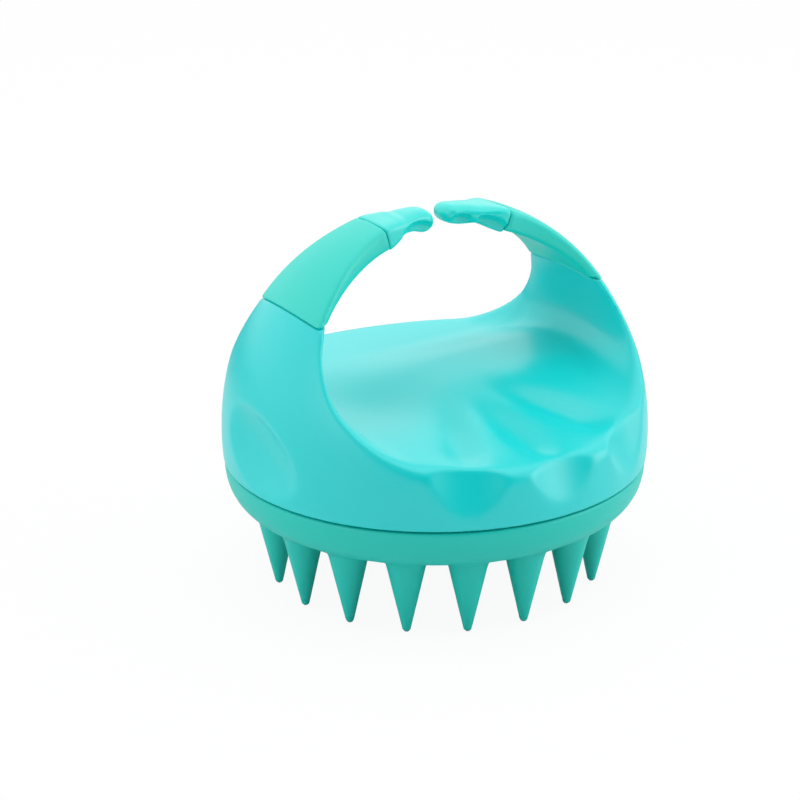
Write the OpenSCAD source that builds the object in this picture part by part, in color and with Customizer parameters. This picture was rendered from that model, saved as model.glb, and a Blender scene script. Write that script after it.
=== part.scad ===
// Scalp massager brush: a hollow dome handle with a hand opening under two flexing arms,
// over a silicone head with a ring of long cone bristles.
// Millimetres, +Z up. The origin is the centre of the circle the bristle tips stand on.
// The arms lie in the XZ plane, and the fingers curl over the lip on the -Y side.

/* [Dome] */
// Widest diameter of the dome
body_d = 85; // [80:1:95]
// Height of the parting line above the bristle tips
seam_z = 24.6; // [23:0.1:28]
// Height of the dome's top above the parting line
dome_h = 50.4; // [48:0.2:54]
// Height of the dome's widest circle above the parting line
belly_h = 4.4; // [3:0.1:6]

/* [Hand opening] */
// Width of the hand opening
opening_w = 68.6; // [64:0.2:70]
// Height above the parting line at which the opening is widest
opening_mid_h = 23.1; // [22:0.1:24]
// Height of the opening above its widest point
opening_up = 23.2; // [22:0.1:24]
// Height of the front lip above the parting line
lip_h = 10.5; // [9.5:0.1:12]
// How much higher the palm rest is at its crown than at the front lip
palm_rise = 2.8; // [1:0.1:4]

/* [Arms] */
// Height of the shell to sleeve seam above the parting line
root_h = 33.65; // [32:0.05:35]
// Width of an arm at the shell to sleeve seam
root_w = 23.8; // [20:0.1:26]
// Distance from the centre plane to the sleeve to fingertip seam, along X
tip_seam_x = 13.6; // [12:0.1:16]
// Width of an arm at the sleeve to fingertip seam
tip_w = 10.5; // [9:0.1:12]
// Gap between the two fingertips
tip_gap = 0.8; // [0.5:0.1:3]
// Thickness of the springy strap inside an arm
core_t = 0.8; // [0.6:0.1:1]
// Width of the springy strap inside an arm
core_w = 6; // [5:0.5:7]

/* [Finger grooves] */
// Turn of each groove about the Z axis, from the front towards +X, in degrees
groove_turns = [-22, 4, 30]; // [-60:0.5:60]
// Diameter of a finger groove
groove_d = 34; // [20:1:36]
// Depth of a finger groove at the lip
groove_depth = 2.4; // [1:0.1:2.4]
// Depth of the thumb hollow on the -X side
thumb_depth = 1.8; // [0.5:0.1:2.2]

/* [Bristle head] */
// Number of long bristles in the outer ring
outer_count = 18; // [12:1:20]
// Radius of the circle the long bristle tips stand on
outer_r = 33.3; // [32:0.1:34]
// Base diameter of a long bristle
outer_base_d = 7.4; // [6:0.1:8]
// Diameter of the flat at each long bristle's tip
tip_flat_d = 1.2; // [1:0.1:2]
// Depth of the silicone rim below the parting line
rim_depth = 8.4; // [8:0.1:9]

/* [Base plate and fasteners] */
// Diameter of the base plate
plate_d = 77; // [76:0.1:77.4]
// Circle the base screws stand on
screw_pcd = 48; // [44:1:52]
// Number of base screws
screw_count = 4; // [3:1:5]
// Screw shank diameter
screw_d = 2.9; // [2.5:0.1:3.2]

/* [Fits] */
// Parting gap between the shell, the sleeves and the fingertips
seam_gap = 0.15; // [0.1:0.01:0.2]
// Radial clearance of pieces that slide on each other
slide_fit = 0.05; // [0.02:0.01:0.1]

/* [Hidden] */

shell_colour = "#6EE6E1";
sleeve_colour = "#64E1CD";
tip_colour = "#82F5F0";
head_colour = "#41B9A5";
plate_colour = "#D9E3E1";
steel_colour = "#B9BDC1";
seal_colour = "#2B2E30";
core_colour = "#E6EDEB";

round_fn = 64;
far = 200;

// Dome profile, with z measured from the bristle tips.
belly_z = seam_z + belly_h;
dome_top_z = seam_z + dome_h;
dome_steps = 36;
dome_power = 2.2;

function dome_r(z) =
    body_d / 2 * pow(max(0, 1 - pow(abs(z - belly_z) / (dome_top_z - belly_z), 2)), 1 / dome_power);

// Steps crowd towards the top, where the profile turns fastest.
function dome_step_z(i, low) = low + (dome_top_z - low) * sin(90 * i / dome_steps);

// Hand opening, in the XZ plane: an ellipse above its widest point and a squarer curve below.
mid_z = seam_z + opening_mid_h;
lip_z = seam_z + lip_h;
opening_steps = 24;
opening_power = 3;

function opening_upper(a) = [opening_w / 2 * cos(a), mid_z + opening_up * sin(a)];

function opening_lower(a) = [
    opening_w / 2 * sign(cos(a)) * pow(abs(cos(a)), 2 / opening_power),
    mid_z - (mid_z - lip_z) * pow(abs(sin(a)), 2 / opening_power)
];

// Palm rest height along Y: low at the front lip, a crown behind the middle, lower again at the back.
palm_crown_y = body_d * 0.14;
palm_span = body_d / 2 + palm_crown_y;
palm_steps = 20;

function palm_z(y) = lip_z + palm_rise * (1 - pow((y - palm_crown_y) / palm_span, 2));

// Half width of an arm in plan, against distance from the centre plane.
// Past the root seam it flares quickly into the front and back edges of the shell.
plan_steps = 16;
plan_end_x = opening_w / 2 - 0.5;
plan_low_z = mid_z + 3.9;
plan_root_x = 31;
plan_power = 1.5;
flare_power = 1.9;
flare_rate = 0.36;

function arm_half_w(x) =
    tip_w / 2
    + (root_w - tip_w) / 2 * pow(max(0, x - tip_seam_x) / (plan_root_x - tip_seam_x), plan_power)
    + flare_rate * pow(max(0, x - plan_root_x), flare_power);

// Finger grooves and thumb hollow in the outside of the dome.
groove_tilt = 20;
groove_above = 6;
groove_below = 14;
thumb_turn = -97;
thumb_d = 32;
thumb_z = seam_z + 9;

// Inside of the shell.
wall_t = 3;
cavity_r = plate_d / 2 - 1;
cavity_top_z = lip_z - wall_t;
cavity_corner = 3;

// Silicone head, base plate and their stack, from the parting line down.
rim_top_z = seam_z - 0.2;
pad_bottom_z = seam_z - rim_depth;
rim_bottom_r = 38.5;
rim_steps = 10;
cup_r = plate_d / 2 + slide_fit;
plate_bottom_z = seam_z - 4.9;
plate_t = 2.5;
plate_top_z = seam_z + 0.15;
pad_top_z = plate_bottom_z - 0.05;
rim_top_r = dome_r(seam_z) - 0.1;
spigot_r = cavity_r - 0.1;
spigot_in_r = spigot_r - 2.9;
spigot_h = 3.5;

// Seal ring, in a groove around the spigot.
seal_d = 1.5;
seal_z = plate_top_z + 1.9;
seal_r = cavity_r - seal_d / 2 - 0.02;
seal_groove_r = spigot_r - seal_d;
seal_groove_half = seal_d / 2 + 0.05;

// Plugs on the silicone pad, which fill holes in the plate.
plug_count = 6;
plug_r = 2.4;
plug_pcd = 56;
plug_turn = 30;

// Base screws.
boss_d = 7.4;
screw_head_d = 5.4;
screw_head_t = 1.6;
screw_l = 9;
screw_turn = 45;
recess_t = plate_t - 0.7;

// Bristles.
inner_rings = [[0, 1], [10.5, 6], [21.5, 12]];
inner_base_d = 6;
inner_tip_d = 2;
inner_tip_z = seam_z - 15.6;
flare_h = 1.6;
flare_r = 1.1;

// Arm parts.
core_root_z = seam_z + root_h - 8;
core_end_x = 9.5;
core_steps = 14;
core_pocket = 0.1;
core_mid_up = opening_up + 2.1;
core_mid_half = opening_w / 2 + 1;
tip_plane_lean = 16;
tip_end_x = tip_gap / 2;
tip_mid_z = dome_top_z - 2.2;
tip_r = 1.9;
tip_plan_r = 3.2;
knuckle_x = 7.2;
knuckle_r = 2.1;
knuckle_w = 8;

module ring(count, pcd, turn = 0) {
    for (i = [0:count - 1]) {
        rotate([0, 0, turn + 360 * i / count]) {
            translate([pcd / 2, 0, 0]) {
                children();
            }
        }
    }
}

// The solid dome from height low upwards.
module dome_solid(low) {
    rotate_extrude($fn = round_fn) {
        polygon(concat(
            [[0, low]],
            [for (i = [0:dome_steps - 1]) [dome_r(dome_step_z(i, low)), dome_step_z(i, low)]],
            [[0, dome_top_z]]
        ));
    }
}

// A 2D outline in XZ, carried along Y for the given width about the centre plane.
module along_y(width) {
    rotate([90, 0, 0]) {
        linear_extrude(width, center = true) {
            children();
        }
    }
}

module opening_outline() {
    polygon(concat(
        [for (i = [0:opening_steps]) opening_upper(180 * i / opening_steps)],
        [for (i = [1:opening_steps - 1]) opening_lower(180 + 180 * i / opening_steps)]
    ));
}

// All that lies above the palm rest.
module above_palm() {
    rotate([90, 0, 90]) {
        linear_extrude(far, center = true) {
            polygon(concat(
                [for (i = [0:palm_steps]) let (y = -body_d / 2 + body_d * i / palm_steps) [y, palm_z(y)]],
                [[far / 2, palm_z(body_d / 2)], [far / 2, far], [-far / 2, far], [-far / 2, lip_z]]
            ));
        }
    }
}

module hand_opening() {
    intersection() {
        along_y(far) {
            opening_outline();
        }
        above_palm();
    }
}

// What is cut away in front of and behind the arms, in plan.
module beside_arms() {
    for (side = [-1, 1]) {
        translate([0, 0, plan_low_z]) {
            linear_extrude(far) {
                polygon(concat(
                    [for (i = [0:plan_steps])
                        let (x = plan_end_x * i / plan_steps) [x, side * arm_half_w(x)]],
                    [[plan_end_x, side * far], [-plan_end_x, side * far]],
                    [for (i = [0:plan_steps - 1])
                        let (x = plan_end_x * (1 - i / plan_steps)) [-x, side * arm_half_w(x)]]
                ));
            }
        }
    }
}

// The dome with the hand opening and the arms' plan cut through it, before it is split into pieces.
module handle_form(low) {
    difference() {
        dome_solid(low);
        hand_opening();
        beside_arms();
    }
}

// The strap's curve in XZ on the right side: it follows the middle of the arm's thickness.
function core_angle(i) =
    let (first = asin((core_root_z - mid_z) / core_mid_up), last = acos(core_end_x / core_mid_half))
    first + (last - first) * i / core_steps;

function core_point(i, off) = [
    (core_mid_half + off) * cos(core_angle(i)),
    mid_z + (core_mid_up + off) * sin(core_angle(i))
];

module strap(thick, width) {
    along_y(width) {
        polygon(concat(
            [for (i = [0:core_steps]) core_point(i, thick / 2)],
            [for (i = [0:core_steps]) core_point(core_steps - i, -thick / 2)]
        ));
    }
}

// What lies beyond the sleeve to fingertip seam on the right side, towards the centre plane.
module past_tip_seam(shift) {
    translate([tip_seam_x + shift, 0, dome_top_z - 4]) {
        rotate([0, tip_plane_lean, 0]) {
            translate([-far, -far / 2, -far / 2]) {
                cube(far);
            }
        }
    }
}

module sleeve() {
    difference() {
        intersection() {
            handle_form(mid_z);
            translate([0, -far / 2, seam_z + root_h]) {
                cube(far);
            }
        }
        past_tip_seam(0);
        strap(core_t + 2 * core_pocket, core_w + 2 * core_pocket);
    }
}

module knuckle_circle() {
    translate([knuckle_x, tip_mid_z - 0.2]) {
        circle(knuckle_r, $fn = 32);
    }
}

// A fingertip's side view on the right side: a round end, a knuckle and a wedge that meets the sleeve.
module fingertip_outline() {
    hull() {
        translate([tip_end_x + tip_r, tip_mid_z]) {
            circle(tip_r, $fn = 32);
        }
        knuckle_circle();
    }
    hull() {
        knuckle_circle();
        polygon([
            [tip_seam_x + 2.4, dome_top_z - 3.2],
            [tip_seam_x + 0.9, dome_top_z - 6.6],
            [tip_seam_x + 0.4, dome_top_z - 2.4]
        ]);
    }
}

module fingertip_plan() {
    hull() {
        translate([tip_end_x + tip_plan_r, 0]) {
            circle(tip_plan_r, $fn = 48);
        }
        translate([knuckle_x + 0.8, -knuckle_w / 2]) {
            square([1, knuckle_w]);
        }
        translate([tip_seam_x, -tip_w / 2]) {
            square([6, tip_w]);
        }
    }
}

module fingertip() {
    difference() {
        intersection() {
            along_y(tip_w) {
                fingertip_outline();
            }
            linear_extrude(far) {
                fingertip_plan();
            }
            past_tip_seam(-seam_gap);
        }
        strap(core_t + 2 * core_pocket, core_w + 2 * core_pocket);
    }
}

module core() {
    strap(core_t, core_w);
}

// Height of the lip where a groove crosses it.
function lip_z_at(turn) =
    let (x = min(0.99, abs(dome_r(lip_z) * sin(turn)) / (opening_w / 2)))
    mid_z - (mid_z - lip_z) * pow(1 - pow(x, opening_power), 1 / opening_power);

// A finger's scallop over the lip: a round cutter that leans inwards at its top.
module finger_groove(height) {
    translate([0, groove_depth - dome_r(height) - groove_d / 2 / cos(groove_tilt), height]) {
        rotate([-groove_tilt, 0, 0]) {
            translate([0, 0, -groove_below]) {
                cylinder(groove_below + groove_above, d = groove_d, $fn = 64);
            }
        }
    }
}

module finger_grooves() {
    for (turn = groove_turns) {
        rotate([0, 0, turn]) {
            finger_groove(lip_z_at(turn));
        }
    }
}

module thumb_hollow() {
    rotate([0, 0, thumb_turn]) {
        translate([0, thumb_depth - body_d / 2 - thumb_d / 2, thumb_z]) {
            rotate([0, 90, 0]) {
                cylinder(60, d = thumb_d, center = true, $fn = 64);
            }
        }
    }
}

module shell_cavity() {
    rotate_extrude($fn = round_fn) {
        polygon([
            [0, seam_z - 5], [cavity_r, seam_z - 5], [cavity_r, cavity_top_z - cavity_corner],
            [cavity_r - cavity_corner, cavity_top_z], [0, cavity_top_z]
        ]);
    }
}

module handle_shell() {
    color(shell_colour)
    difference() {
        union() {
            difference() {
                handle_form(seam_z + 0.2);
                finger_grooves();
                thumb_hollow();
                shell_cavity();
                translate([-far / 2, -far / 2, seam_z + root_h - seam_gap]) {
                    cube(far);
                }
            }
            ring(screw_count, screw_pcd, screw_turn) {
                translate([0, 0, plate_bottom_z + plate_t + 0.05]) {
                    cylinder(cavity_top_z - plate_bottom_z - plate_t + 1, d = boss_d, $fn = 32);
                }
            }
        }
        ring(screw_count, screw_pcd, screw_turn) {
            translate([0, 0, seam_z - 4]) {
                cylinder(cavity_top_z - seam_z + 3, d = screw_d + 2 * slide_fit, $fn = 32);
            }
        }
        for (side = [0, 1]) {
            mirror([side, 0, 0]) {
                strap(core_t + 2 * slide_fit, core_w + 2 * slide_fit);
            }
        }
    }
}

module base_plate() {
    color(plate_colour)
    difference() {
        rotate_extrude($fn = round_fn) {
            polygon([
                [0, plate_bottom_z], [plate_d / 2, plate_bottom_z], [plate_d / 2, plate_top_z],
                [spigot_r, plate_top_z], [spigot_r, seal_z - seal_groove_half],
                [seal_groove_r, seal_z - seal_groove_half], [seal_groove_r, seal_z + seal_groove_half],
                [spigot_r, seal_z + seal_groove_half], [spigot_r, plate_top_z + spigot_h],
                [spigot_in_r, plate_top_z + spigot_h], [spigot_in_r, plate_bottom_z + plate_t],
                [0, plate_bottom_z + plate_t]
            ]);
        }
        ring(screw_count, screw_pcd, screw_turn) {
            translate([0, 0, plate_bottom_z - 1]) {
                cylinder(plate_t + 2, d = screw_d + 4 * slide_fit, $fn = 32);
            }
            translate([0, 0, plate_bottom_z - 1]) {
                cylinder(1 + recess_t, d = screw_head_d + 0.6, $fn = 32);
            }
        }
        ring(plug_count, plug_pcd, plug_turn) {
            translate([0, 0, plate_bottom_z - 1]) {
                cylinder(plate_t + 2, r = plug_r + slide_fit, $fn = 32);
            }
        }
    }
}

module base_screws() {
    color(steel_colour)
    ring(screw_count, screw_pcd, screw_turn) {
        translate([0, 0, plate_bottom_z + recess_t - screw_head_t]) {
            difference() {
                union() {
                    cylinder(screw_head_t, d = screw_head_d, $fn = 32);
                    cylinder(screw_l, d = screw_d, $fn = 32);
                }
                for (turn = [0, 90]) {
                    rotate([0, 0, turn]) {
                        translate([-1.5, -0.35, -1]) {
                            cube([3, 0.7, 1.8]);
                        }
                    }
                }
            }
        }
    }
}

module seal_ring() {
    color(seal_colour)
    rotate_extrude($fn = round_fn) {
        translate([seal_r, seal_z]) {
            circle(d = seal_d, $fn = 32);
        }
    }
}

// A cone bristle that hangs from the pad, with a flared root and a blunt rounded tip.
module bristle(base_d, tip_d, flat_d, tip_z) {
    rotate_extrude($fn = 32) {
        polygon([
            [0, tip_z], [flat_d / 2, tip_z], [tip_d / 2, tip_z + 0.45], [tip_d / 2 + 0.12, tip_z + 1.1],
            [base_d / 2, pad_bottom_z - flare_h], [base_d / 2 + flare_r, pad_bottom_z],
            [base_d / 2 + flare_r, pad_bottom_z + 0.5], [0, pad_bottom_z + 0.5]
        ]);
    }
}

function rim_z(i) = pad_bottom_z + (rim_top_z - pad_bottom_z) * (1 - cos(90 * i / rim_steps));

function rim_r(i) = rim_bottom_r + (rim_top_r - rim_bottom_r) * sin(90 * i / rim_steps);

module bristle_head() {
    color(head_colour) {
        rotate_extrude($fn = round_fn) {
            polygon(concat(
                [[0, pad_bottom_z]],
                [for (i = [0:rim_steps]) [rim_r(i), rim_z(i)]],
                [[cup_r, rim_top_z], [cup_r, pad_top_z], [0, pad_top_z]]
            ));
        }
        ring(plug_count, plug_pcd, plug_turn) {
            translate([0, 0, pad_top_z - 0.5]) {
                cylinder(plate_t + 0.5, r = plug_r, $fn = 32);
            }
        }
        ring(outer_count, 2 * outer_r, -90) {
            bristle(outer_base_d, 2, tip_flat_d, 0);
        }
        for (item = inner_rings) {
            ring(item[1], 2 * item[0], -90) {
                bristle(inner_base_d, inner_tip_d, tip_flat_d, inner_tip_z);
            }
        }
    }
}

module left() {
    mirror([1, 0, 0]) {
        children();
    }
}

handle_shell();
base_plate();
base_screws();
seal_ring();
bristle_head();
color(core_colour) left() core();  // left_arm_core
color(sleeve_colour) left() sleeve();  // left_arm_sleeve
color(tip_colour) left() fingertip();  // left_fingertip
color(core_colour) core();  // right_arm_core
color(sleeve_colour) sleeve();  // right_arm_sleeve
color(tip_colour) fingertip();  // right_fingertip
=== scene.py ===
"""Looks of the scalp massager brush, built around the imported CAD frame.

The smooth moulded pieces are implicit surfaces: each one is a function that is negative inside the
piece, and surface_mesh() turns it into a closed quad mesh. Lengths in those functions are in
millimetres with the same origin and axes as the CAD, and the meshes are in metres.
"""

import math

import bpy
import numpy as np
from mathutils import Matrix, Vector


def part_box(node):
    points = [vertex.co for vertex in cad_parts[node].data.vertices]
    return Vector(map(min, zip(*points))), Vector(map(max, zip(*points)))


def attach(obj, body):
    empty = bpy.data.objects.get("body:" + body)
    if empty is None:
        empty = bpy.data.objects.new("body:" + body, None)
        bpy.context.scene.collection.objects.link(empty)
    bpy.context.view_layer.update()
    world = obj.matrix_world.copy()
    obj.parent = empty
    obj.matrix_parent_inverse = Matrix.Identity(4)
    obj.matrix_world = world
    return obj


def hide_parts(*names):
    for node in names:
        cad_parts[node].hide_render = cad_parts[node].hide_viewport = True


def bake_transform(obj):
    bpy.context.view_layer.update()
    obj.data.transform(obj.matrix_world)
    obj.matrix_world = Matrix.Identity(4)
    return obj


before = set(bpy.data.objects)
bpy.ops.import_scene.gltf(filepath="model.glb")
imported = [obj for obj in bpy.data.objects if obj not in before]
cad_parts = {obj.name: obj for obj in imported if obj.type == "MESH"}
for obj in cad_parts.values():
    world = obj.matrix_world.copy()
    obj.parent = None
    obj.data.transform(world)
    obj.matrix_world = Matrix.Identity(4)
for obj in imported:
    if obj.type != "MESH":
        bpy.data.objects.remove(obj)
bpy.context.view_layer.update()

MM = 0.001


# ---------------------------------------------------------------- main sizes, from the frame

def box_mm(node_name):
    """The low and high corner of a CAD node's box."""
    low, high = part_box(node_name)
    return np.array(low) / MM, np.array(high) / MM


shell_high = box_mm("handle_shell")[1]
head_high = box_mm("bristle_head")[1]
plate_low, plate_high = box_mm("base_plate")
sleeve_low = box_mm("right_arm_sleeve")[0]
tip_high = box_mm("right_fingertip")[1]
core_high = box_mm("right_arm_core")[1]

BODY_R = shell_high[0]
SEAM_R = BODY_R / 1.013
RIM_TOP_Z = head_high[2]
SEAM_Z = RIM_TOP_Z + 0.2
SHELL_BOTTOM_Z = SEAM_Z + 0.2
ROOT_Z = sleeve_low[2]
DOME_TOP_Z = SEAM_Z + 1.186 * BODY_R
BELLY_Z = SEAM_Z + 0.104 * BODY_R
LIP_Z = SEAM_Z + 0.247 * BODY_R
OPENING_MID_Z = SEAM_Z + 0.5435 * BODY_R
OPENING_UP = 0.546 * BODY_R
PAD_TOP_Z = plate_low[2] - 0.05
PAD_BOTTOM_Z = SEAM_Z - 8.4


# ---------------------------------------------------------------- implicit surface kit

def smooth_max(a, b, k):
    """The larger of a and b, with the edge between them rounded over about k."""
    h = np.maximum(k - np.abs(a - b), 0) / k
    return np.maximum(a, b) + h * h * h * k / 6


def smooth_min(a, b, k):
    """The smaller of a and b, with the corner between them filled over about k."""
    return -smooth_max(-a, -b, k)


def cut(a, b, k):
    """Takes b away from a."""
    return smooth_max(a, -b, k)


def smooth_step(low, high, v):
    """0 where v is at low or beyond it, 1 at high and beyond, and eased between them."""
    t = np.clip((v - low) / (high - low), 0, 1)
    return t * t * (3 - 2 * t)


def smooth_steps(changes, v):
    """The sum of each (amount, low, high) of changes, eased in as v goes from low to high."""
    return sum(amount * smooth_step(low, high, v) for amount, low, high in changes)


def bump(centre, half, v):
    """1 at centre, falling off smoothly on both sides over about half."""
    return np.exp(-((v - centre) / half) ** 2)


def near_distance(g, gx, gz, least):
    """An implicit value over the length of its gradient, taken as least or more: close to a distance."""
    return g / np.maximum(np.sqrt(gx * gx + gz * gz), least)


def radius(x, y):
    """The length of (x, y), which in plan is the distance from the z axis."""
    return np.sqrt(x * x + y * y)


def ring_distance(x, y, count, ring_r, turn):
    """Distance in plan from the nearest of count points on a circle, the first at turn degrees."""
    angle = np.arctan2(y, x) - math.radians(turn)
    sector = 2 * math.pi / count
    folded = angle - sector * np.round(angle / sector)
    rho = radius(x, y)
    return np.sqrt((rho * np.cos(folded) - ring_r) ** 2 + (rho * np.sin(folded)) ** 2)


def graded_axis(low, high, step, fine=()):
    """Grid lines from low to high, step apart, and closer in each (from, to, step) of fine."""
    stops = [low]
    while stops[-1] < high:
        here = stops[-1]
        inside = [s for a, b, s in fine if a - step <= here < b]
        stops.append(here + min([step] + inside))
    return np.array(stops)


def crossing_points(values, axes, cells):
    """The mean of where the surface crosses each cell's edges."""
    total = np.zeros((len(cells), 3))
    count = np.zeros(len(cells))
    for axis in range(3):
        for a in (0, 1):
            for b in (0, 1):
                first = np.zeros(3, int)
                first[(axis + 1) % 3] = a
                first[(axis + 2) % 3] = b
                second = first.copy()
                second[axis] = 1
                i, j = cells + first, cells + second
                f0 = values[i[:, 0], i[:, 1], i[:, 2]]
                f1 = values[j[:, 0], j[:, 1], j[:, 2]]
                crossed = (f0 < 0) != (f1 < 0)
                t = np.where(crossed, f0 / np.where(crossed, f0 - f1, 1), 0)
                p0 = np.stack([axes[n][i[:, n]] for n in range(3)], 1)
                p1 = np.stack([axes[n][j[:, n]] for n in range(3)], 1)
                total += np.where(crossed[:, None], p0 + t[:, None] * (p1 - p0), 0)
                count += crossed
    return total / count[:, None]


def surface_quads(inside, number):
    """One quad round every grid edge that the surface crosses, facing outwards."""
    quads = []
    for axis in range(3):
        low = [slice(1, -1)] * 3
        high = [slice(1, -1)] * 3
        low[axis], high[axis] = slice(0, -1), slice(1, None)
        a, b = inside[tuple(low)], inside[tuple(high)]
        edge = np.argwhere(a != b)
        outwards = a[tuple(edge.T)]
        u, v = (axis + 1) % 3, (axis + 2) % 3
        ring = []
        for du, dv in ((0, 0), (1, 0), (1, 1), (0, 1)):
            cell = edge.copy()
            cell[:, u] += du
            cell[:, v] += dv
            ring.append(number[tuple(cell.T)])
        ring = np.stack(ring, 1)
        ring[~outwards] = ring[~outwards][:, ::-1]
        quads.append(ring)
    return np.concatenate(quads)


def gradient(field, p, e=0.01):
    """How field grows along x, y and z at each point, from its values e to both sides."""
    g = np.empty_like(p)
    for axis in range(3):
        step = np.zeros(3)
        step[axis] = e
        g[:, axis] = (field(*(p + step).T) - field(*(p - step).T)) / (2 * e)
    return g


def settle(field, p, reach, rounds=5):
    """Moves points onto the surface, each by no more than reach a round."""
    for _ in range(rounds):
        f = field(*p.T)
        g = gradient(field, p)
        step = -f[:, None] * g / np.maximum((g * g).sum(1), 1e-6)[:, None]
        length = np.linalg.norm(step, axis=1)
        p = p + step * np.minimum(1, reach / np.maximum(length, 1e-9))[:, None]
    return p


def new_object(name, points, faces, material):
    """A smooth-shaded mesh object from points in millimetres and faces that have equal corner counts."""
    mesh = bpy.data.meshes.new(name)
    mesh.vertices.add(len(points))
    mesh.vertices.foreach_set("co", (np.asarray(points) * MM).astype(np.float32).ravel())
    corners = faces.shape[1]
    mesh.loops.add(len(faces) * corners)
    mesh.loops.foreach_set("vertex_index", faces.astype(np.int32).ravel())
    mesh.polygons.add(len(faces))
    mesh.polygons.foreach_set("loop_start", np.arange(0, len(faces) * corners, corners, dtype=np.int32))
    mesh.polygons.foreach_set("use_smooth", np.ones(len(faces), bool))
    mesh.update(calc_edges=True)
    mesh.validate()
    obj = bpy.data.objects.new(name, mesh)
    bpy.context.scene.collection.objects.link(obj)
    mesh.materials.append(material)
    return obj


def surface_mesh(name, field, axes, material, reach=0.3):
    """A closed mesh of the surface where field is 0, on the grid that axes gives."""
    grid = np.meshgrid(*axes, indexing="ij")
    values = field(*grid)
    inside = values < 0
    shape = np.array(inside.shape) - 1
    count = np.zeros(shape, np.int8)
    for i in (0, 1):
        for j in (0, 1):
            for k in (0, 1):
                count += inside[i:shape[0] + i, j:shape[1] + j, k:shape[2] + k]
    active = (count > 0) & (count < 8)
    number = np.full(shape, -1, np.int64)
    cells = np.argwhere(active)
    number[active] = np.arange(len(cells))
    points = settle(field, crossing_points(values, axes, cells), reach)
    return new_object(name, points, surface_quads(inside, number), material)


# ---------------------------------------------------------------- dome and palm rest

DOME_POWER = 2.2

FINGER_TURNS = (-22, 4, 30)
FINGER_LANE_HALF = 3.6
FINGER_LANE_DEPTH = 1.5
FINGER_LANE_FROM = (4, 24)
FINGER_LANE_TO = (BODY_R - 1, BODY_R - 11)

PALM_RISE = 3.2
PALM_CROWN_Y = 0.4 * BODY_R
PALM_DISH = 0.0016
PILLOW_RISE = 3.4
PILLOW_ALONG_X = (-24, 14)
PILLOW_BACK_Y = (25, 4)
PILLOW_FRONT_Y = (-32, -6)
SCOOP_X = -16
SCOOP_Y = -4
SCOOP_HALF = 11
SCOOP_DEPTH = 1.9


def dome(x, y, z):
    """The full round body that everything else is cut from."""
    rho = radius(x, y)
    height = DOME_TOP_Z - BELLY_Z
    dz = z - BELLY_Z
    g = (rho / BODY_R) ** DOME_POWER + (dz / height) ** 2 - 1
    g_rho = DOME_POWER * rho ** (DOME_POWER - 1) / BODY_R ** DOME_POWER
    return near_distance(g, g_rho, 2 * dz / height ** 2, least=0.4 / BODY_R)


def dome_height(x):
    """Height of the top of the dome over the centre line."""
    return BELLY_Z + (DOME_TOP_Z - BELLY_Z) * np.sqrt(
        np.clip(1 - (np.abs(x) / BODY_R) ** DOME_POWER, 0, 1))


def finger_lanes(x, y):
    """Depth of the lanes that fan out over the palm rest to the finger dents."""
    rho = radius(x, y)
    depth = FINGER_LANE_DEPTH * smooth_step(*FINGER_LANE_FROM, rho) * smooth_step(*FINGER_LANE_TO, rho)
    bearing = np.arctan2(x, -y)
    return sum(
        depth * bump(0, FINGER_LANE_HALF, rho * (bearing - math.radians(turn))) for turn in FINGER_TURNS)


def palm_height(x, y):
    """Height of the palm rest: a crown, a pillow on its right, a scoop on its left, and the lanes."""
    span = BODY_R + PALM_CROWN_Y
    crown = PALM_RISE * (1 - ((y - PALM_CROWN_Y) / span) ** 2) + PALM_DISH * x ** 2
    pillow = (PILLOW_RISE * smooth_step(*PILLOW_ALONG_X, x)
              * smooth_step(*PILLOW_BACK_Y, y) * smooth_step(*PILLOW_FRONT_Y, y))
    scoop = SCOOP_DEPTH * bump(SCOOP_X, SCOOP_HALF, x) * bump(SCOOP_Y, SCOOP_HALF, y)
    return LIP_Z + crown + pillow - scoop - finger_lanes(x, y)


# ---------------------------------------------------------------- hand opening and arms

OPENING_HALF = 0.771 * BODY_R
OPENING_BOW = 1.3
OPENING_BOW_HALF = 11
OPENING_UPPER_POWER = 1.8
OPENING_CORNER_R = 10.5
OPENING_EDGE = 4.0
TIGHT_CORNER = 4.5
TIGHT_CORNER_X = (0, 20)
TIGHT_CORNER_Y = 14
TIGHT_CORNER_HALF = 9

TIP_SEAM_X = 13.6
TIP_SEAM_Z = DOME_TOP_Z - 4
TIP_SEAM_LEAN = math.radians(16)
TIP_HALF_W = tip_high[1] + 0.6
ROOT_HALF_W = 12.5
ROOT_X = 31.4
ROOT_ARCH = 1.4
ROOT_ARCH_LEAST = -0.2
ROOT_CORNER_DROP = 0.6
ROOT_OUTER_X = (29.5, 32)
SEAM_GAP = 0.15

ARM_WIDEN_POWER = 1.5
ARM_FLARE = 0.6
ARM_FLARE_GROWTH = 0.02
ARM_LEAN = 0.9
ARM_EDGE = 1.8
SHOULDER_Z = OPENING_MID_Z + 1
SHOULDER_FILLET = 1.0


def opening(x, y, z):
    """The hand opening: a rounded arch above its widest point, and a floor with round corners below."""
    half = OPENING_HALF + OPENING_BOW * bump(0, OPENING_BOW_HALF, y)
    across = np.maximum(np.abs(x) / half, 1e-6)
    up = z - OPENING_MID_Z
    power = OPENING_UPPER_POWER
    upper = near_distance(
        across ** power + (up / OPENING_UP) ** 2 - 1,
        power * across ** (power - 1) / half, 2 * up / OPENING_UP ** 2, least=0.5 / BODY_R)
    drop = OPENING_MID_Z - palm_height(x, y)
    tighter = TIGHT_CORNER * smooth_step(*TIGHT_CORNER_X, x) * bump(TIGHT_CORNER_Y, TIGHT_CORNER_HALF, y)
    corner = np.minimum(OPENING_CORNER_R - tighter, drop)
    out = np.abs(x) - half + corner
    down = -up - drop + corner
    lower = radius(np.maximum(out, 0), np.maximum(down, 0)) + np.minimum(np.maximum(out, down), 0) - corner
    return np.where(up > 0, upper, lower)


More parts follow.
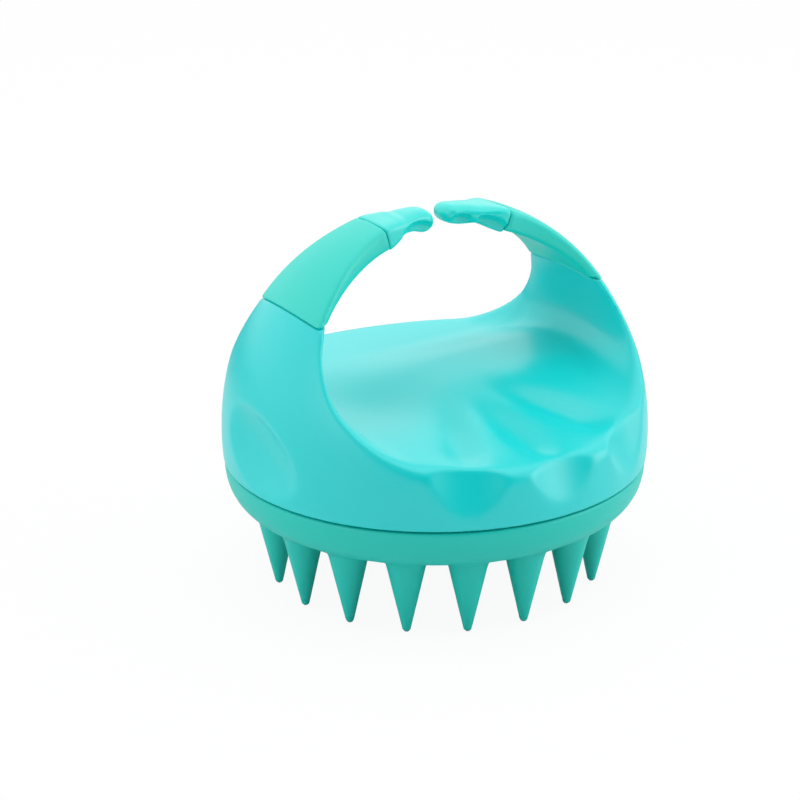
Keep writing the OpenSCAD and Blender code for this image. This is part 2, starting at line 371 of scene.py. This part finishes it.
def arm_half_width(x, z):
    """Half the width of an arm: it widens from the tip seam to the root seam, then flares down the shell."""
    run = np.clip((np.abs(x) - TIP_SEAM_X) / (ROOT_X - TIP_SEAM_X), 0, 1)
    below = np.maximum(ROOT_Z - z, 0)
    return (TIP_HALF_W + (ROOT_HALF_W - TIP_HALF_W) * run ** ARM_WIDEN_POWER
            + ARM_FLARE * below + ARM_FLARE_GROWTH * below ** 2)


def beside_arms(x, y, z):
    """Positive in front of and behind the arms, above the shoulders of the shell."""
    plan = (np.abs(y) - arm_half_width(x, z)) * ARM_LEAN
    return smooth_min(plan, z - SHOULDER_Z, SHOULDER_FILLET)


def handle_form(x, y, z):
    """The outside of the shell and both arms as one solid, without dents and seams."""
    form = cut(dome(x, y, z), opening(x, y, z), OPENING_EDGE)
    return smooth_max(form, beside_arms(x, y, z), ARM_EDGE)


def root_seam(x, y):
    """Height of the seam between an arm's sleeve and the shell: it arches a little on the outer face."""
    arch = np.maximum(1 - (y / ROOT_HALF_W) ** 2, ROOT_ARCH_LEAST)
    return ROOT_Z + (ROOT_ARCH * arch - ROOT_CORNER_DROP) * smooth_step(*ROOT_OUTER_X, np.abs(x))


def past_tip_seam(x, z):
    """Distance beyond the sleeve to fingertip seam, towards the centre plane, on the right side."""
    return (TIP_SEAM_X - x) * math.cos(TIP_SEAM_LEAN) + (z - TIP_SEAM_Z) * math.sin(TIP_SEAM_LEAN)


# ---------------------------------------------------------------- shell

FINGER_DENT_R = 17
FINGER_DENT_DEPTH = 2.9
FINGER_DENT_TILT = math.radians(20)
FINGER_DENT_EDGE = 0.9

THUMB_TURN = math.radians(-84)
THUMB_SLOPE = math.radians(-18)
THUMB_R = 12.5
THUMB_STRETCH = 0.4
THUMB_DEPTH = 2.9
THUMB_Z = SEAM_Z + 10.2
THUMB_EDGE = 0.8

SHELL_SEAM_EDGE = 0.5
SHELL_BOTTOM_EDGE = 0.6
CAVITY_R = 37.5
CAVITY_TOP_Z = LIP_Z - 3
CAVITY_CORNER = 4
CAVITY_EDGE = 0.5

SCREW_COUNT = 4
SCREW_RING_R = 24
SCREW_TURN = 45
SCREW_HOLE_R = 1.5
SCREW_HOLE_TOP_Z = CAVITY_TOP_Z - 1
SCREW_HOLE_EDGE = 0.3
BOSS_R = 3.7
BOSS_BOTTOM_Z = plate_low[2] + 2.6
BOSS_TOP_Z = CAVITY_TOP_Z + 1
BOSS_FILLET = 0.8


def finger_dent(x, y, z, turn):
    """A round cutter that dents the wall below the lip, and leans inwards at its top."""
    c, s = math.cos(math.radians(turn)), math.sin(math.radians(turn))
    along, out = c * x + s * y, s * x - c * y
    lean = math.tan(FINGER_DENT_TILT)
    centre = BODY_R - FINGER_DENT_DEPTH + FINGER_DENT_R - (z - LIP_Z) * lean
    return (radius(along, out - centre) - FINGER_DENT_R) * math.cos(FINGER_DENT_TILT)


def thumb_hollow(x, y, z):
    """A long round cutter that leaves the thumb's rest in the shell's left side."""
    c, s = math.cos(THUMB_TURN), math.sin(THUMB_TURN)
    along, out, rise = c * x + s * y, s * x - c * y, z - THUMB_Z
    c, s = math.cos(THUMB_SLOPE), math.sin(THUMB_SLOPE)
    length, height = c * along + s * rise, c * rise - s * along
    centre = BODY_R - THUMB_DEPTH + THUMB_R
    return np.sqrt((THUMB_STRETCH * length) ** 2 + height ** 2 + (out - centre) ** 2) - THUMB_R


def shell_inside(x, y, z):
    """The hollow of the shell, open at its bottom."""
    return smooth_max(radius(x, y) - CAVITY_R, z - CAVITY_TOP_Z, CAVITY_CORNER)


def handle_shell(x, y, z):
    """The hard shell with its dents, its hollow and its screw bosses, up to the arms' root seams."""
    form = handle_form(x, y, z)
    for turn in FINGER_TURNS:
        form = cut(form, finger_dent(x, y, z, turn), FINGER_DENT_EDGE)
    form = cut(form, thumb_hollow(x, y, z), THUMB_EDGE)
    form = smooth_max(form, z - root_seam(x, y) + SEAM_GAP, SHELL_SEAM_EDGE)
    form = smooth_max(form, SHELL_BOTTOM_Z - z, SHELL_BOTTOM_EDGE)
    form = cut(form, shell_inside(x, y, z), CAVITY_EDGE)
    around = ring_distance(x, y, SCREW_COUNT, SCREW_RING_R, SCREW_TURN)
    boss = np.maximum(around - BOSS_R, BOSS_BOTTOM_Z - z)
    boss = np.maximum(boss, z - BOSS_TOP_Z)
    form = smooth_min(form, boss, BOSS_FILLET)
    return cut(form, np.maximum(around - SCREW_HOLE_R, z - SCREW_HOLE_TOP_Z), SCREW_HOLE_EDGE)


# ---------------------------------------------------------------- arms' pieces, on the right side

SLEEVE_PROUD = 0.12
SLEEVE_EDGE = 0.6

STRAP_HALF_T = 0.4
STRAP_HALF_W = 3.0
STRAP_EDGE = 0.3
STRAP_ROOT_Z = SEAM_Z + 25.65
STRAP_END_X = 9.5
STRAP_REACH_X = core_high[0] - 0.2
STRAP_REACH_Z = OPENING_UP + 2.1
STRAP_FIT = 0.05

TIP_UNDER_Z = SEAM_Z + 43.4
TIP_END_HALF_W = 3.5
TIP_END_LENGTH = 2.4
TIP_END_LEAST = 0.05
TIP_END_EDGE = 0.6
TIP_WIDEN_X = (3, 14.5)
TIP_POWER = 2.6
TIP_SEAM_POWER = 6.0
TIP_SQUARE_X = (8, 13.5)
TIP_SEAM_EDGE = 0.5
HOLLOW_OUT = 0.5
HOLLOW_BELOW = 2.0
HOLLOW_HALF_Y = 2.1
HOLLOW_HALF_Z = 2.5
HOLLOW_POWER = 3
HOLLOW_SCALE = 1.7
HOLLOW_EDGE = 0.5

# Each tip has an end, steps (rise, from x, to x) of its top and its underside, and hollows (x, half length).
RIGHT_TIP_END = 0.6
RIGHT_TIP_TOP = ((-0.45, 13.5, 8.5),)
RIGHT_TIP_UNDER = ((2.3, 13.8, 6.8), (0.5, 5, 1.5))
RIGHT_TIP_HOLLOWS = ((10.1, 2.9), (4.2, 2.3))
LEFT_TIP_END = 1.1
LEFT_TIP_TOP = ((-0.45, 10, 8), (-0.6, 5, 0.5))
LEFT_TIP_UNDER = ((2.3, 14, 7), (-0.5, 6, 3.5))
LEFT_TIP_HOLLOWS = ((5.8, 3.9),)
LEFT_TIP_DIP = 0.3
LEFT_TIP_DIP_X = 10.3
LEFT_TIP_DIP_HALF = 2.2


def right_strap(x, y, z):
    """The thin springy strap inside the right arm, along an ellipse just outside the hand opening."""
    across, up = x / STRAP_REACH_X, (z - OPENING_MID_Z) / STRAP_REACH_Z
    off = near_distance(
        across ** 2 + up ** 2 - 1, 2 * across / STRAP_REACH_X, 2 * up / STRAP_REACH_Z, least=0.02)
    section = smooth_max(np.abs(off) - STRAP_HALF_T, np.abs(y) - STRAP_HALF_W, STRAP_EDGE)
    return np.maximum(np.maximum(section, STRAP_ROOT_Z - z), STRAP_END_X - x)


def right_sleeve(x, y, z):
    """The soft sleeve between the root seam and the tip seam, a little proud of the shell."""
    form = handle_form(x, y, z) - SLEEVE_PROUD
    form = smooth_max(form, root_seam(x, y) - z, SLEEVE_EDGE)
    form = smooth_max(form, past_tip_seam(x, z), SLEEVE_EDGE)
    return np.maximum(form, STRAP_FIT - right_strap(x, y, z))


def fingertip(x, y, z, end, top, under, hollows):
    """A finger's end from under to top: square at the seam, round at its end, hollowed at its sides."""
    near = np.clip((x - end) / TIP_END_LENGTH, 0, 1)
    round_off = np.sqrt(np.clip(1 - (1 - near) ** 2, TIP_END_LEAST ** 2, 1))
    half_w = (TIP_END_HALF_W + (TIP_HALF_W - TIP_END_HALF_W) * smooth_step(*TIP_WIDEN_X, x)) * round_off
    centre = (top + under) / 2
    half_t = (top - under) / 2 * round_off
    side = np.abs(y) / half_w
    up = np.abs(z - centre) / half_t
    power = TIP_POWER + (TIP_SEAM_POWER - TIP_POWER) * smooth_step(*TIP_SQUARE_X, x)
    body = near_distance(
        side ** power + up ** power - 1,
        power * side ** (power - 1) / half_w, power * up ** (power - 1) / half_t, least=0.3)
    body = smooth_max(body, end - x, TIP_END_EDGE)
    for centre_x, half_length in hollows:
        scoop = ((np.abs(x - centre_x) / half_length) ** HOLLOW_POWER
                 + (np.abs(np.abs(y) - half_w - HOLLOW_OUT) / HOLLOW_HALF_Y) ** HOLLOW_POWER
                 + (np.abs(z - centre + HOLLOW_BELOW) / HOLLOW_HALF_Z) ** HOLLOW_POWER)
        body = cut(body, (scoop ** (1 / HOLLOW_POWER) - 1) * HOLLOW_SCALE, HOLLOW_EDGE)
    body = smooth_max(body, SEAM_GAP - past_tip_seam(x, z), TIP_SEAM_EDGE)
    return np.maximum(body, STRAP_FIT - right_strap(x, y, z))


def right_fingertip(x, y, z):
    """The right arm's fingertip. It thins towards its end in steps."""
    top = dome_height(x) + smooth_steps(RIGHT_TIP_TOP, x)
    under = TIP_UNDER_Z + smooth_steps(RIGHT_TIP_UNDER, x)
    return fingertip(x, y, z, RIGHT_TIP_END, top, under, RIGHT_TIP_HOLLOWS)


def left_fingertip(x, y, z):
    """The left arm's fingertip, drawn on the right side. It has a dip across its top, like a joint."""
    dip = LEFT_TIP_DIP * bump(LEFT_TIP_DIP_X, LEFT_TIP_DIP_HALF, x)
    top = dome_height(x) - dip + smooth_steps(LEFT_TIP_TOP, x)
    under = TIP_UNDER_Z + smooth_steps(LEFT_TIP_UNDER, x)
    return fingertip(x, y, z, LEFT_TIP_END, top, under, LEFT_TIP_HOLLOWS)


# ---------------------------------------------------------------- bristle head

RIM_IN_R = 35.6
RIM_INSET = 0.35
RIM_BELOW_PAD = 0.5
RIM_ACROSS_POWER = 2.2
RIM_DOWN_POWER = 2.4
RIM_TOP_EDGE = 1.0
PAD_EDGE = 1.5
CUP_R = plate_high[0] + 0.05
CUP_EDGE = 0.3

PLUG_COUNT = 6
PLUG_RING_R = 28
PLUG_TURN = 30
PLUG_R = 2.4
PLUG_TOP_Z = PAD_TOP_Z + 2.5
PLUG_BOTTOM_Z = PAD_TOP_Z - 1

BRISTLE_TURN = -90
BRISTLE_TOP_Z = PAD_BOTTOM_Z + 1
BRISTLE_FILLET = 3.2
OUTER_COUNT = 18
OUTER_RING_R = 33.3
OUTER_BASE_R = 4.25
OUTER_TIP_R = 0.85
OUTER_TIP_Z = 0
INNER_RINGS = ((12, 21.5), (6, 10.5), (1, 0.0))
INNER_BASE_R = 3.0
INNER_TIP_R = 1.0
INNER_TIP_Z = SEAM_Z - 15.6


def cone(around, z, tip_z, tip_r, base_r):
    """A round-ended cone that points down from the pad: tip_r at tip_z, and base_r at the pad."""
    centre_z = tip_z + tip_r
    slope = (base_r - tip_r) / (PAD_BOTTOM_Z - centre_z)
    side = (around - tip_r - (z - centre_z) * slope) / math.sqrt(1 + slope * slope)
    ball = radius(around, z - centre_z) - tip_r
    return np.where(z + around * slope < centre_z, ball, side)


def bristles(x, y, z):
    """The outer ring of long bristles and the shorter ones inside it."""
    outer = ring_distance(x, y, OUTER_COUNT, OUTER_RING_R, BRISTLE_TURN)
    spikes = cone(outer, z, OUTER_TIP_Z, OUTER_TIP_R, OUTER_BASE_R)
    for count, ring_r in INNER_RINGS:
        around = ring_distance(x, y, count, ring_r, BRISTLE_TURN)
        spikes = np.minimum(spikes, cone(around, z, INNER_TIP_Z, INNER_TIP_R, INNER_BASE_R))
    return np.maximum(spikes, z - BRISTLE_TOP_Z)


def rim(x, y, z):
    """The cup's outside, which curves in from the parting line to below the pad."""
    width, depth = BODY_R - RIM_INSET - RIM_IN_R, RIM_TOP_Z - PAD_BOTTOM_Z + RIM_BELOW_PAD
    across = np.maximum(radius(x, y) - RIM_IN_R, 0) / width
    down = np.maximum(RIM_TOP_Z - z, 0) / depth
    body = near_distance(
        across ** RIM_ACROSS_POWER + down ** RIM_DOWN_POWER - 1,
        RIM_ACROSS_POWER * across ** (RIM_ACROSS_POWER - 1) / width,
        RIM_DOWN_POWER * down ** (RIM_DOWN_POWER - 1) / depth, least=0.12)
    return smooth_max(body, z - RIM_TOP_Z, RIM_TOP_EDGE)


def bristle_head(x, y, z):
    """The silicone cup with its bristles below and its plugs on the inside of its floor."""
    body = smooth_max(rim(x, y, z), PAD_BOTTOM_Z - z, PAD_EDGE)
    body = smooth_min(body, bristles(x, y, z), BRISTLE_FILLET)
    body = cut(body, np.maximum(radius(x, y) - CUP_R, PAD_TOP_Z - z), CUP_EDGE)
    plug = np.maximum(z - PLUG_TOP_Z, PLUG_BOTTOM_Z - z)
    plug = np.maximum(plug, ring_distance(x, y, PLUG_COUNT, PLUG_RING_R, PLUG_TURN) - PLUG_R)
    return np.minimum(body, plug)


# ---------------------------------------------------------------- materials

CLOUD_SCALE = 38
CLOUD_DETAIL = 3
CLOUD_FROM = (0.3, 0.7)
CLOUD_TO = (0.8, 1.0)
GRAIN_DETAIL = 4
GRAIN_DEPTH = 0.00015
ROUGHNESS_SPREAD = 0.05
SUBSURFACE_RADIUS = (0.3, 1.0, 0.95)
SUBSURFACE_SCALE = 0.003

STEEL_COLOUR = (0.62, 0.63, 0.64, 1)
STEEL_ROUGHNESS = (0.22, 0.42)
STAIN_SCALE = 500
STAIN_DETAIL = 2
TURNING_SCALE = 900
TURNING_WOBBLE = 2
TURNING_STRENGTH = 0.1
TURNING_DEPTH = 0.0001


def node(tree, kind, inputs=None, **settings):
    """A new shader node with these settings and input values."""
    new = tree.nodes.new(kind)
    for key, value in settings.items():
        setattr(new, key, value)
    set_inputs(new, inputs or {})
    return new


def set_inputs(shader_node, values):
    """Sets the unlinked values of a shader node's inputs."""
    for key, value in values.items():
        shader_node.inputs[key].default_value = value


def mapped(tree, source, low, high, start=0.0, end=1.0, kind="LINEAR"):
    """The output of a map from (start, end) to (low, high) of the value that source gives."""
    ranges = {"From Min": start, "From Max": end, "To Min": low, "To Max": high}
    new = node(tree, "ShaderNodeMapRange", ranges, interpolation_type=kind)
    tree.links.new(source, new.inputs["Value"])
    return new.outputs["Result"]


def noise(tree, coords, scale, detail):
    """The value of a noise over the object's own coordinates."""
    new = node(tree, "ShaderNodeTexNoise", {"Scale": scale, "Detail": detail})
    tree.links.new(coords.outputs["Object"], new.inputs["Vector"])
    return new.outputs["Fac"]


def relief(tree, shader, height, strength, distance):
    """Roughs the surface up by height, at most distance metres deep."""
    new = node(tree, "ShaderNodeBump", {"Strength": strength, "Distance": distance})
    tree.links.new(height, new.inputs["Height"])
    tree.links.new(new.outputs["Normal"], shader.inputs["Normal"])


def node_material(name):
    """A material with its node tree and its Principled shader."""
    material = bpy.data.materials.new(name)
    material.use_nodes = True
    tree = material.node_tree
    return material, tree, tree.nodes["Principled BSDF"]


def linear(r, g, b):
    """An sRGB colour, given from 0 to 255, in linear light with an alpha of 1."""
    light = [(c / 255 / 12.92) if c < 10 else ((c / 255 + 0.055) / 1.055) ** 2.4 for c in (r, g, b)]
    return (*light, 1)


def plastic(name, colour, deep, roughness, grain, bump_strength, subsurface, ior=1.5):
    """Moulded plastic: a slightly clouded colour, fine grain, and light that sinks in a little."""
    material, tree, shader = node_material(name)
    coords = node(tree, "ShaderNodeTexCoord")
    cloud = noise(tree, coords, CLOUD_SCALE, CLOUD_DETAIL)
    fine = noise(tree, coords, grain, GRAIN_DETAIL)
    blend = node(tree, "ShaderNodeMix", {"A": linear(*deep), "B": linear(*colour)}, data_type="RGBA")
    tree.links.new(mapped(tree, cloud, *CLOUD_TO, *CLOUD_FROM), blend.inputs["Factor"])
    tree.links.new(blend.outputs["Result"], shader.inputs["Base Color"])
    rough = mapped(tree, fine, roughness - ROUGHNESS_SPREAD, roughness + ROUGHNESS_SPREAD)
    tree.links.new(rough, shader.inputs["Roughness"])
    relief(tree, shader, fine, bump_strength, GRAIN_DEPTH)
    set_inputs(shader, {
        "Subsurface Weight": subsurface, "Subsurface Radius": SUBSURFACE_RADIUS,
        "Subsurface Scale": SUBSURFACE_SCALE, "IOR": ior})
    return material


def steel(name):
    """Plated steel with fine turning marks and slight stains."""
    material, tree, shader = node_material(name)
    coords = node(tree, "ShaderNodeTexCoord")
    waves = {"Scale": TURNING_SCALE, "Distortion": TURNING_WOBBLE}
    rings = node(tree, "ShaderNodeTexWave", waves, wave_type="RINGS", rings_direction="Z")
    tree.links.new(coords.outputs["Object"], rings.inputs["Vector"])
    stain = noise(tree, coords, STAIN_SCALE, STAIN_DETAIL)
    tree.links.new(mapped(tree, stain, *STEEL_ROUGHNESS), shader.inputs["Roughness"])
    relief(tree, shader, rings.outputs["Fac"], TURNING_STRENGTH, TURNING_DEPTH)
    set_inputs(shader, {"Base Color": STEEL_COLOUR, "Metallic": 1.0})
    return material


SHELL_PLASTIC = plastic(
    "shell_plastic", colour=(3, 214, 214), deep=(1, 208, 208),
    roughness=0.34, grain=2600, bump_strength=0.06, subsurface=0.1, ior=1.6)
SLEEVE_RUBBER = plastic(
    "sleeve_rubber", colour=(10, 214, 200), deep=(6, 207, 192),
    roughness=0.45, grain=3200, bump_strength=0.12, subsurface=0.1, ior=1.62)
TIP_PLASTIC = plastic(
    "tip_plastic", colour=(8, 222, 214), deep=(6, 214, 206),
    roughness=0.32, grain=2600, bump_strength=0.06, subsurface=0.15, ior=1.65)
HEAD_SILICONE = plastic(
    "head_silicone", colour=(4, 202, 189), deep=(2, 192, 179),
    roughness=0.45, grain=3000, bump_strength=0.1, subsurface=0.1)
PLATE_PLASTIC = plastic(
    "plate_plastic", colour=(196, 226, 222), deep=(188, 220, 216),
    roughness=0.45, grain=2200, bump_strength=0.08, subsurface=0.1)
STRAP_PLASTIC = plastic(
    "strap_plastic", colour=(226, 230, 226), deep=(214, 220, 216),
    roughness=0.4, grain=2000, bump_strength=0.06, subsurface=0.2)
SEAL_RUBBER = plastic(
    "seal_rubber", colour=(38, 42, 44), deep=(30, 33, 35),
    roughness=0.6, grain=3400, bump_strength=0.15, subsurface=0.0)
SCREW_STEEL = steel("screw_steel")


# ---------------------------------------------------------------- pieces


def both_sides(low, high, step):
    """A fine stretch of an axis and its mirror image."""
    return (-high, -low, step), (low, high, step)


def build_shell():
    """The shell, on a grid that is finer at its bottom edge, its shoulders and its root seams."""
    step = 0.62
    span = BODY_R + 1.5
    shoulders_x = both_sides(29, 35.5, 0.4)
    shoulders_y = both_sides(9, 19, 0.42)
    shoulders_z = (ROOT_Z - 9, ROOT_Z, 0.36)
    bottom = (SHELL_BOTTOM_Z - 0.5, SHELL_BOTTOM_Z + 0.9, 0.15)
    seams = (ROOT_Z - 1, ROOT_Z + ROOT_ARCH + 0.2, 0.2)
    axes = (
        graded_axis(-span, span, step, shoulders_x),
        graded_axis(-span, span, step, shoulders_y),
        graded_axis(BOSS_BOTTOM_Z - 1, ROOT_Z + ROOT_ARCH + 1, step, (bottom, seams, shoulders_z)),
    )
    shell = surface_mesh("handle_shell_moulding", handle_shell, axes, SHELL_PLASTIC)
    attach(shell, "handle")
    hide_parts("handle_shell")


def build_head():
    """The bristle head, on a grid that is finer at its top edge."""
    plan_step = 0.55
    height_step = 0.6
    span = BODY_R + 1
    top = (RIM_TOP_Z - 0.9, RIM_TOP_Z + 0.2, 0.15)
    plan = graded_axis(-span, span, plan_step)
    axes = (plan, plan, graded_axis(OUTER_TIP_Z - 1, RIM_TOP_Z + 1, height_step, (top,)))
    head = surface_mesh("bristle_head_silicone", bristle_head, axes, HEAD_SILICONE)
    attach(head, "head")
    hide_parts("bristle_head")


def arm_piece(node_name, sign, field, material, step, fine_z=()):
    """Meshes one piece of an arm from the field of the right one, mirrored where sign is -1."""
    low, high = box_mm(node_name)
    margin = 1.5
    fine = ((), (), fine_z)
    axes = [graded_axis(low[n] - margin, high[n] + margin, step, fine[n]) for n in range(3)]

    def mirrored(x, y, z):
        return field(sign * x, y, z)

    obj = surface_mesh(node_name + "_moulding", mirrored, axes, material, step / 2)
    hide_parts(node_name)
    return obj


def build_arm(side, sign, tip_field):
    """One arm: the sleeve and the strap, which reach on from the shell, meshed in place, and the fingertip,
    which rides at the end on the arm's body.
    """
    body = side + "_arm"
    root_band = (ROOT_Z - 1.2, ROOT_Z + 1.6, 0.17)
    sleeve = arm_piece(
        body + "_sleeve", sign, right_sleeve, SLEEVE_RUBBER, step=0.33, fine_z=(root_band,))
    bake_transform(sleeve)
    strap = arm_piece(body + "_core", sign, right_strap, STRAP_PLASTIC, step=0.2)
    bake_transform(strap)
    tip = arm_piece(side + "_fingertip", sign, tip_field, TIP_PLASTIC, step=0.25)
    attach(tip, body)


def finish_cad_nodes():
    """Gives the CAD nodes that are shown as they are their materials."""
    looks = {"base_plate": PLATE_PLASTIC, "base_screws": SCREW_STEEL, "seal_ring": SEAL_RUBBER}
    for name, material in looks.items():
        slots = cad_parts[name].data.materials
        for n in range(len(slots)):
            slots[n] = material


# ---------------------------------------------------------------- camera

VIEW_AZIMUTH = -30.8
VIEW_ELEVATION = 21.82
VIEW_DISTANCE = 8.64 * SEAM_R
SENSOR_WIDTH = 36
FOCAL_LENGTH = 80.87
LENS_SHIFT = (-0.0433, 0.0581)
CLIP_START = 0.01


def view_axes(azimuth, elevation):
    """The right, up and back directions of a camera on this side of the part."""
    a, e = math.radians(azimuth), math.radians(elevation)
    back = Vector((math.sin(a) * math.cos(e), -math.cos(a) * math.cos(e), math.sin(e)))
    right = Vector((math.cos(a), math.sin(a), 0))
    return right, back.cross(right), back


def build_camera():
    """The main view's camera, aimed at the middle of the parting line with its lens shifted."""
    right, up, back = view_axes(VIEW_AZIMUTH, VIEW_ELEVATION)
    camera = bpy.data.objects.new("camera", bpy.data.cameras.new("camera"))
    bpy.context.scene.collection.objects.link(camera)
    camera.matrix_world = Matrix((right, up, back)).transposed().to_4x4()
    camera.location = Vector((0, 0, SEAM_Z * MM)) + back * VIEW_DISTANCE * MM
    camera.data.sensor_width = SENSOR_WIDTH
    camera.data.lens = FOCAL_LENGTH
    camera.data.shift_x, camera.data.shift_y = LENS_SHIFT
    camera.data.clip_start = CLIP_START
    bpy.context.scene.camera = camera


# ---------------------------------------------------------------- stage, in metres and watts

WHITE = (1, 1, 1, 1)
SKY_STRENGTH = 1.16
DARK_STRENGTH = 0.0
DARK_AZIMUTH = -14
DARK_ELEVATION = 18
DARK_FADE = (0.6, 0.97)

FLOOR_HALF = 3.0
FLOOR_ROUGHNESS = 0.9
FLOOR_BOUNCE = 0.76
FLOOR_FAR_BOUNCE = 0.05
FLOOR_FADE = (0.10, 0.22)
FLOOR_SHADE = (0.85, 0.85, 0.85, 1)
FLOOR_WHITENESS = 0.93

LAMP_TARGET = Vector((0, 0, 0.04))
# Each lamp's name, place, width and power.
LAMPS = (
    ("key", (0.05, -0.05, 0.70), 0.70, 0.6),
    ("side", (0.52, -0.42, 0.26), 0.55, 1.3),
    ("left", (-0.65, -0.10, 0.28), 0.40, 0.3),
    ("back", (0.20, 0.55, 0.38), 0.50, 0.1),
)


def along_direction(tree, source, direction):
    """How far the vector that source gives reaches along a direction."""
    dot = node(tree, "ShaderNodeVectorMath", operation="DOT_PRODUCT")
    dot.inputs[1].default_value = direction
    tree.links.new(source, dot.inputs[0])
    return dot.outputs["Value"]


def mix_shaders(tree, factor, first, second):
    """A shader that goes from first to second as factor, a value or an output, goes from 0 to 1."""
    mix = node(tree, "ShaderNodeMixShader")
    if isinstance(factor, float):
        mix.inputs["Fac"].default_value = factor
    else:
        tree.links.new(factor, mix.inputs["Fac"])
    tree.links.new(first.outputs[0], mix.inputs[1])
    tree.links.new(second.outputs[0], mix.inputs[2])
    return mix


def felt_and_seen(tree, felt, seen):
    """A shader that lights the scene with one thing and shows the camera another."""
    path = node(tree, "ShaderNodeLightPath")
    return mix_shaders(tree, path.outputs["Is Camera Ray"], felt, seen)


def white_floor():
    """Near white to the camera, with a trace of shadow, and clear from below.

    Its bounce is duller than it looks, and fades out behind the brush.
    """
    material, tree, felt = node_material("floor_white")
    felt.inputs["Roughness"].default_value = FLOOR_ROUGHNESS
    place = node(tree, "ShaderNodeNewGeometry")
    behind = along_direction(tree, place.outputs["Position"], -view_axes(VIEW_AZIMUTH, 0)[2])
    bounce = mapped(tree, behind, FLOOR_BOUNCE, FLOOR_FAR_BOUNCE, *FLOOR_FADE, "SMOOTHSTEP")
    tree.links.new(bounce, felt.inputs["Base Color"])
    shade = node(tree, "ShaderNodeBsdfDiffuse", {"Color": FLOOR_SHADE})
    glow = node(tree, "ShaderNodeEmission", {"Strength": 1.0})
    seen = mix_shaders(tree, FLOOR_WHITENESS, shade, glow)
    clear = node(tree, "ShaderNodeBsdfTransparent")
    sided = mix_shaders(tree, place.outputs["Backfacing"], felt_and_seen(tree, felt, seen), clear)
    tree.links.new(sided.outputs[0], tree.nodes["Material Output"].inputs["Surface"])
    return material


def build_floor():
    """A large plain floor that follows the head, so that it never hides it."""
    mesh = bpy.data.meshes.new("floor")
    r = FLOOR_HALF
    mesh.from_pydata([(-r, -r, 0), (r, -r, 0), (r, r, 0), (-r, r, 0)], [], [(0, 1, 2, 3)])
    mesh.materials.append(white_floor())
    floor = bpy.data.objects.new("floor", mesh)
    bpy.context.scene.collection.objects.link(floor)
    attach(floor, "head")


def build_sky():
    """White to the camera; as light, a soft sky with a dark area on the camera's side."""
    world = bpy.data.worlds.new("world")
    bpy.context.scene.world = world
    world.use_nodes = True
    tree = world.node_tree
    felt = tree.nodes["Background"]
    felt.inputs["Color"].default_value = WHITE
    coords = node(tree, "ShaderNodeTexCoord")
    dark = view_axes(DARK_AZIMUTH, DARK_ELEVATION)[2]
    towards = along_direction(tree, coords.outputs["Generated"], dark)
    strength = mapped(tree, towards, SKY_STRENGTH, DARK_STRENGTH, *DARK_FADE, "SMOOTHSTEP")
    tree.links.new(strength, felt.inputs["Strength"])
    seen = node(tree, "ShaderNodeBackground", {"Color": WHITE})
    both = felt_and_seen(tree, felt, seen)
    tree.links.new(both.outputs[0], tree.nodes["World Output"].inputs["Surface"])


def build_lamp(name, place, width, power):
    """A round area lamp that faces the part."""
    data = bpy.data.lights.new(name, "AREA")
    data.shape = "DISK"
    data.size = width
    data.energy = power
    lamp = bpy.data.objects.new(name, data)
    lamp.location = place
    lamp.rotation_euler = (LAMP_TARGET - Vector(place)).to_track_quat("-Z", "Y").to_euler()
    bpy.context.scene.collection.objects.link(lamp)


build_shell()
build_head()
build_arm("left", -1, left_fingertip)
build_arm("right", 1, right_fingertip)
finish_cad_nodes()
build_camera()
build_floor()
build_sky()
for lamp in LAMPS:
    build_lamp(*lamp)
bpy.context.scene.view_settings.view_transform = "Standard"
